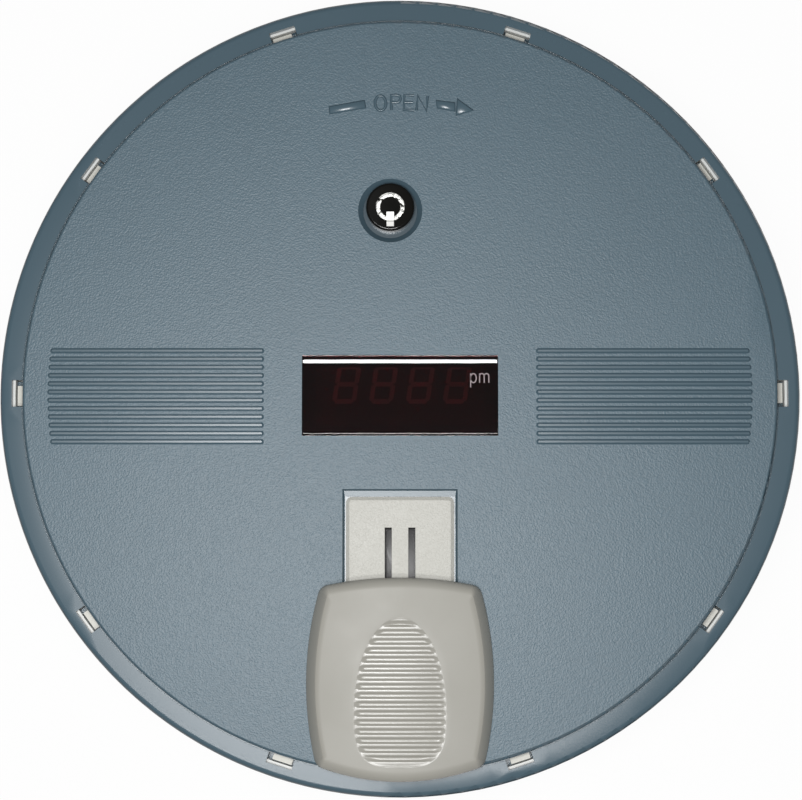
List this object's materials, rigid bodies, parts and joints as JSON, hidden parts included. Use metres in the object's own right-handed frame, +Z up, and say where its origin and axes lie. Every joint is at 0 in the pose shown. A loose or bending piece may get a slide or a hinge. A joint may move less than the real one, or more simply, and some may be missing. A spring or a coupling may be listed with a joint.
{
  "type": "automatic pill dispenser",
  "caption": "Round tabletop pill dispenser: clock-driven carousel tray under a twist-off lid with a key lock, a display window and a sliding dispensing door.",
  "frame": {"origin": "centre of the base at the level of the table under the rubber feet", "axes": "+Z up along the carousel's axis, -Y towards the dispensing door, +X to the right of a user who faces the door"},
  "size_m": [0.26, 0.26, 0.0577],
  "materials": {
    "blue_abs": "fine moulded texture",
    "offwhite_abs": "fine moulded texture",
    "grey_abs": "satin moulded",
    "black_abs": "satin moulded",
    "black_rubber": "matt",
    "cell_wrap": "shrink wrap",
    "nickel_plate": "nickel plated",
    "green_board": "solder mask",
    "black_epoxy": "moulded epoxy",
    "zinc_steel": "zinc plated",
    "ground_steel": "ground",
    "red_pvc": "extruded",
    "motor_can": "drawn and plated",
    "white_acetal": "moulded",
    "tray_styrene": "moulded",
    "smoked_acrylic": "polished",
    "lock_black": "gloss enamel",
    "lock_chrome": "worn",
    "button_rubber": "matt"
  },
  "bodies": {
    "base": {"base_floor": "offwhite_abs", "base_wall": "offwhite_abs", "base_rim": "offwhite_abs", "base_pillars": "offwhite_abs", "rubber_feet": "black_rubber", "battery_holder": "black_abs", "battery_cells": "cell_wrap", "battery_contacts": "nickel_plate", "main_board": "green_board", "board_components": "black_epoxy", "display_board": "green_board", "display_board_screws": "zinc_steel", "led_display": "black_epoxy", "key_switches": "black_epoxy", "buzzer": "black_abs", "dc_jack": "black_abs", "power_lead": "red_pvc", "tray_sensor": "black_abs", "gearbox_case": "grey_abs", "drive_motor": "motor_can", "motor_screws": "zinc_steel", "hub_wall_ring": "offwhite_abs", "hub_cover": "offwhite_abs", "hub_screws": "zinc_steel"},
    "battery_door": {"battery_door": "offwhite_abs"},
    "tray": {"tray_ring_gear": "white_acetal", "tray_floor": "tray_styrene", "tray_inner_wall": "tray_styrene", "tray_outer_wall": "tray_styrene", "tray_dividers": "tray_styrene"},
    "pinion": {"drive_pinion": "white_acetal", "pinion_shaft": "ground_steel"},
    "lid_ring": {"lid_glide_ring": "white_acetal"},
    "lid": {"lid_plate": "blue_abs", "lid_rim": "blue_abs", "display_lens": "smoked_acrylic", "track_plate": "offwhite_abs", "lock_body": "lock_black", "lock_nut": "zinc_steel", "lock_notch_insert": "lock_chrome"},
    "door": {"door_cap": "grey_abs", "door_shutter": "grey_abs", "door_retainer": "grey_abs"},
    "lock_cylinder": {"lock_plug": "lock_chrome", "lock_post": "lock_black", "lock_cam": "zinc_steel", "lock_cam_screw": "zinc_steel"},
    "hour_button": {"hour_button": "button_rubber"},
    "minute_button": {"minute_button": "button_rubber"},
    "alarm_button": {"alarm_button": "button_rubber"},
    "tray_button": {"tray_button": "button_rubber"}
  },
  "joints": [
    {"name": "lid_lift", "type": "slide", "parent": "base", "child": "lid_ring", "axis": [0, 0, 1], "range_m": [0, 0.09]},
    {"name": "lid_twist", "type": "hinge", "parent": "lid_ring", "child": "lid", "pos_m": [0, 0, 0.043], "axis": [0, 0, 1], "range_deg": [-14, 0]},
    {"name": "door_slide", "type": "slide", "parent": "lid", "child": "door", "axis": [0, 1, 0], "range_m": [0, 0.025]},
    {"name": "lock_turn", "type": "hinge", "parent": "lid", "child": "lock_cylinder", "pos_m": [-0.0032, 0.0604, 0.045], "axis": [0, 0, 1], "range_deg": [-90, 0]},
    {"name": "tray_spin", "type": "hinge", "parent": "base", "child": "tray", "pos_m": [0, 0, 0.02], "axis": [0, 0, 1], "continuous": true},
    {"name": "pinion_spin", "type": "hinge", "parent": "base", "child": "pinion", "pos_m": [0.05846, 0.03375, 0.0159], "axis": [0, 0, 1], "continuous": true},
    {"name": "battery_door_slide", "type": "slide", "parent": "base", "child": "battery_door", "axis": [0, -1, 0], "range_m": [0, 0.015]},
    {"name": "hour_button_press", "type": "slide", "parent": "base", "child": "hour_button", "axis": [0, 0, 1], "range_m": [-0.0006, 0], "stiffness_N_per_m": 300, "springref_m": 0.0002},
    {"name": "minute_button_press", "type": "slide", "parent": "base", "child": "minute_button", "axis": [0, 0, 1], "range_m": [-0.0006, 0], "stiffness_N_per_m": 300, "springref_m": 0.0002},
    {"name": "alarm_button_press", "type": "slide", "parent": "base", "child": "alarm_button", "axis": [0, 0, 1], "range_m": [-0.0006, 0], "stiffness_N_per_m": 300, "springref_m": 0.0002},
    {"name": "tray_button_press", "type": "slide", "parent": "base", "child": "tray_button", "axis": [0, 0, 1], "range_m": [-0.0006, 0], "stiffness_N_per_m": 300, "springref_m": 0.0002}
  ],
  "couplings": [
    {"joint": "pinion_spin", "follows": "tray_spin", "ratio": 6.625}
  ]
}
